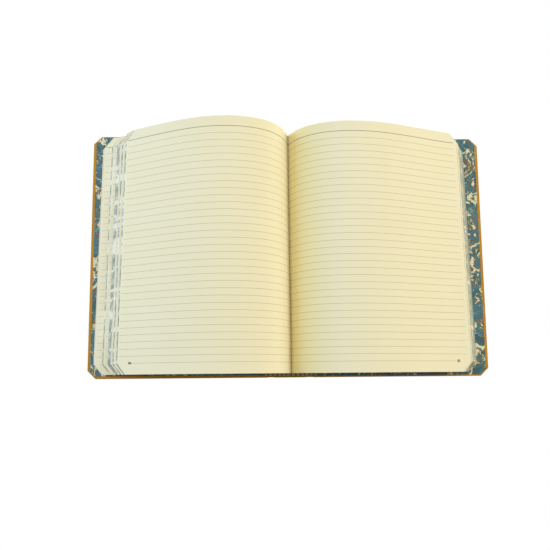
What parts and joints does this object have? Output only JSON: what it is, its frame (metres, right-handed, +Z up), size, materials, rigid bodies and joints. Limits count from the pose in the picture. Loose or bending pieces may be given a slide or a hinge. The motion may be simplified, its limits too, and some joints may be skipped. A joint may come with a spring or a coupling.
{
  "type": "open notebook",
  "caption": "Thick hardcover notebook lying open on its back, with an arched ruled page block, cut corners, patterned endpapers and covers hinged at the spine.",
  "frame": {"origin": "on the table under the middle of the case: centre of the spine strip, half way up the page height", "axes": "+X across the open spread to the reader's right, +Y up the page towards the head, +Z up out of the pages"},
  "size_m": [0.4248, 0.2648, 0.0505],
  "materials": {
    "cover_cloth": "fine matt book cloth, amber",
    "endpaper": "matt printed paper, teal with cream marbling",
    "page_paper": "uncoated cream writing paper with ruled lines",
    "lining_paper": "brown lining paper",
    "headband_thread": "striped cream and gold woven thread"
  },
  "bodies": {
    "block": {"text_block": "page_paper", "spine": "cover_cloth", "spine_lining": "lining_paper", "head_headband": "headband_thread", "tail_headband": "headband_thread", "left_flyleaf": "endpaper", "right_flyleaf": "endpaper"},
    "left_board": {"left_cover": "cover_cloth", "left_pastedown": "endpaper"},
    "right_board": {"right_cover": "cover_cloth", "right_pastedown": "endpaper"}
  },
  "joints": [
    {"name": "left_cover_hinge", "type": "hinge", "parent": "block", "child": "left_board", "pos_m": [-0.0205, 0, 0.0011], "axis": [0, -1, 0], "range_deg": [0, 90]},
    {"name": "right_cover_hinge", "type": "hinge", "parent": "block", "child": "right_board", "pos_m": [0.0205, 0, 0.0011], "axis": [0, 1, 0], "range_deg": [0, 90]}
  ]
}
